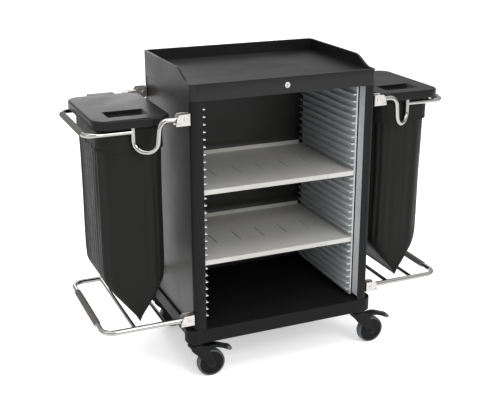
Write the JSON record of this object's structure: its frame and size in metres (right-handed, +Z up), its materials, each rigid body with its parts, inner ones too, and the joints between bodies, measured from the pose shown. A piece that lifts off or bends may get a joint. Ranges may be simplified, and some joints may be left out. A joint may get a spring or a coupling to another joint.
{
  "type": "housekeeping cart",
  "caption": "Housekeeping cart with a ribbed cabinet, sliding shelves, raised-rim tray, swivel casters and fold-up end frames carrying lidded waste bags.",
  "frame": {"origin": "on the floor under the centre of the cart", "axes": "+X along the cart toward the right-hand bag, +Y from the open front to the back, +Z up"},
  "size_m": [1.332, 0.493, 1.075],
  "materials": {
    "moulded_plastic": "black injection-moulded plastic, fine satin texture",
    "side_panel": "dark grey smooth laminate panel, satin",
    "rail_aluminium": "grey extruded aluminium, matt anodised",
    "shelf_sheet": "light grey powder-coated sheet",
    "lock_metal": "nickel-plated lock barrel",
    "caster_plastic": "black glass-filled nylon",
    "tyre_rubber": "grey-blue non-marking rubber tread",
    "axle_steel": "zinc-plated steel",
    "bracket_steel": "pressed steel, satin nickel plate",
    "chromed_tube": "bent steel tube, bright chrome plate",
    "grip_rubber": "dark brown-grey soft grip sleeve",
    "lid_plastic": "black moulded plastic, satin",
    "bag_fabric": "black coated woven cloth, matt"
  },
  "bodies": {
    "cabinet": {"base": "moulded_plastic", "post_front_left": "moulded_plastic", "post_front_right": "moulded_plastic", "post_rear_left": "moulded_plastic", "post_rear_right": "moulded_plastic", "back_panel": "moulded_plastic", "tray": "moulded_plastic", "side_panel_left": "side_panel", "side_panel_right": "side_panel", "rib_panel_left": "rail_aluminium", "rib_panel_right": "rail_aluminium", "rail_strip_left": "rail_aluminium", "rail_strip_right": "rail_aluminium", "caster_front_left_mount": "caster_plastic", "caster_front_right_mount": "caster_plastic", "caster_rear_left_mount": "caster_plastic", "caster_rear_right_mount": "caster_plastic", "upper_bracket_front_left": "bracket_steel", "lower_bracket_front_left": "bracket_steel", "upper_bracket_rear_left": "bracket_steel", "lower_bracket_rear_left": "bracket_steel", "upper_bracket_front_right": "bracket_steel", "lower_bracket_front_right": "bracket_steel", "upper_bracket_rear_right": "bracket_steel", "lower_bracket_rear_right": "bracket_steel"},
    "lock": {"lock_barrel": "lock_metal"},
    "upper_shelf": {"shelf_upper": "shelf_sheet"},
    "lower_shelf": {"shelf_lower": "shelf_sheet"},
    "swivel_front_left": {"caster_front_left_fork": "caster_plastic", "caster_front_left_axle": "axle_steel"},
    "wheel_front_left": {"caster_front_left_wheel": "caster_plastic", "caster_front_left_tyre": "tyre_rubber"},
    "brake_front_left": {"caster_front_left_brake_pedal": "caster_plastic"},
    "swivel_front_right": {"caster_front_right_fork": "caster_plastic", "caster_front_right_axle": "axle_steel"},
    "wheel_front_right": {"caster_front_right_wheel": "caster_plastic", "caster_front_right_tyre": "tyre_rubber"},
    "brake_front_right": {"caster_front_right_brake_pedal": "caster_plastic"},
    "swivel_rear_left": {"caster_rear_left_fork": "caster_plastic", "caster_rear_left_axle": "axle_steel"},
    "wheel_rear_left": {"caster_rear_left_wheel": "caster_plastic", "caster_rear_left_tyre": "tyre_rubber"},
    "swivel_rear_right": {"caster_rear_right_fork": "caster_plastic", "caster_rear_right_axle": "axle_steel"},
    "wheel_rear_right": {"caster_rear_right_wheel": "caster_plastic", "caster_rear_right_tyre": "tyre_rubber"},
    "hoop_left": {"upper_frame_left": "chromed_tube", "upper_grip_left": "grip_rubber", "bag_collar_left": "lid_plastic", "bag_left": "bag_fabric"},
    "lid_left": {"lid_left": "lid_plastic"},
    "support_left": {"lower_frame_left": "chromed_tube", "lower_grip_left": "grip_rubber"},
    "hoop_right": {"upper_frame_right": "chromed_tube", "upper_grip_right": "grip_rubber", "bag_collar_right": "lid_plastic", "bag_right": "bag_fabric"},
    "lid_right": {"lid_right": "lid_plastic"},
    "support_right": {"lower_frame_right": "chromed_tube", "lower_grip_right": "grip_rubber"}
  },
  "joints": [
    {"name": "lock_turn", "type": "hinge", "parent": "cabinet", "child": "lock", "pos_m": [0, -0.246, 1.016], "axis": [0, -1, 0], "range_deg": [0, 90]},
    {"name": "upper_shelf_slide", "type": "slide", "parent": "cabinet", "child": "upper_shelf", "axis": [0, -1, 0], "range_m": [0, 0.3]},
    {"name": "lower_shelf_slide", "type": "slide", "parent": "cabinet", "child": "lower_shelf", "axis": [0, -1, 0], "range_m": [0, 0.3]},
    {"name": "swivel_front_left_turn", "type": "hinge", "parent": "cabinet", "child": "swivel_front_left", "pos_m": [-0.319, -0.206, 0.13], "axis": [0, 0, 1], "continuous": true},
    {"name": "wheel_front_left_spin", "type": "hinge", "parent": "swivel_front_left", "child": "wheel_front_left", "pos_m": [-0.265, -0.206, 0.05], "axis": [0, 1, 0], "continuous": true},
    {"name": "brake_front_left_press", "type": "hinge", "parent": "swivel_front_left", "child": "brake_front_left", "pos_m": [-0.29, -0.206, 0.111], "axis": [0, 1, 0], "range_deg": [0, 10]},
    {"name": "swivel_front_right_turn", "type": "hinge", "parent": "cabinet", "child": "swivel_front_right", "pos_m": [0.319, -0.206, 0.13], "axis": [0, 0, 1], "continuous": true},
    {"name": "wheel_front_right_spin", "type": "hinge", "parent": "swivel_front_right", "child": "wheel_front_right", "pos_m": [0.373, -0.206, 0.05], "axis": [0, 1, 0], "continuous": true},
    {"name": "brake_front_right_press", "type": "hinge", "parent": "swivel_front_right", "child": "brake_front_right", "pos_m": [0.348, -0.206, 0.111], "axis": [0, 1, 0], "range_deg": [0, 10]},
    {"name": "swivel_rear_left_turn", "type": "hinge", "parent": "cabinet", "child": "swivel_rear_left", "pos_m": [-0.319, 0.206, 0.13], "axis": [0, 0, 1], "continuous": true},
    {"name": "wheel_rear_left_spin", "type": "hinge", "parent": "swivel_rear_left", "child": "wheel_rear_left", "pos_m": [-0.265, 0.206, 0.05], "axis": [0, 1, 0], "continuous": true},
    {"name": "swivel_rear_right_turn", "type": "hinge", "parent": "cabinet", "child": "swivel_rear_right", "pos_m": [0.319, 0.206, 0.13], "axis": [0, 0, 1], "continuous": true},
    {"name": "wheel_rear_right_spin", "type": "hinge", "parent": "swivel_rear_right", "child": "wheel_rear_right", "pos_m": [0.373, 0.206, 0.05], "axis": [0, 1, 0], "continuous": true},
    {"name": "hoop_left_fold", "type": "hinge", "parent": "cabinet", "child": "hoop_left", "pos_m": [-0.349, 0, 0.932], "axis": [0, 1, 0], "range_deg": [0, 90], "deforming": ["bag_left"]},
    {"name": "lid_left_open", "type": "hinge", "parent": "hoop_left", "child": "lid_left", "pos_m": [-0.5035, 0.208, 0.925], "axis": [1, 0, 0], "range_deg": [-100, 0]},
    {"name": "support_left_fold", "type": "hinge", "parent": "cabinet", "child": "support_left", "pos_m": [-0.349, 0, 0.238], "axis": [0, 1, 0], "range_deg": [0, 90], "deforming": ["bag_left"]},
    {"name": "hoop_right_fold", "type": "hinge", "parent": "cabinet", "child": "hoop_right", "pos_m": [0.349, 0, 0.932], "axis": [0, -1, 0], "range_deg": [0, 90], "deforming": ["bag_right"]},
    {"name": "lid_right_open", "type": "hinge", "parent": "hoop_right", "child": "lid_right", "pos_m": [0.5035, 0.208, 0.925], "axis": [1, 0, 0], "range_deg": [-100, 0]},
    {"name": "support_right_fold", "type": "hinge", "parent": "cabinet", "child": "support_right", "pos_m": [0.349, 0, 0.238], "axis": [0, -1, 0], "range_deg": [0, 90], "deforming": ["bag_right"]}
  ]
}
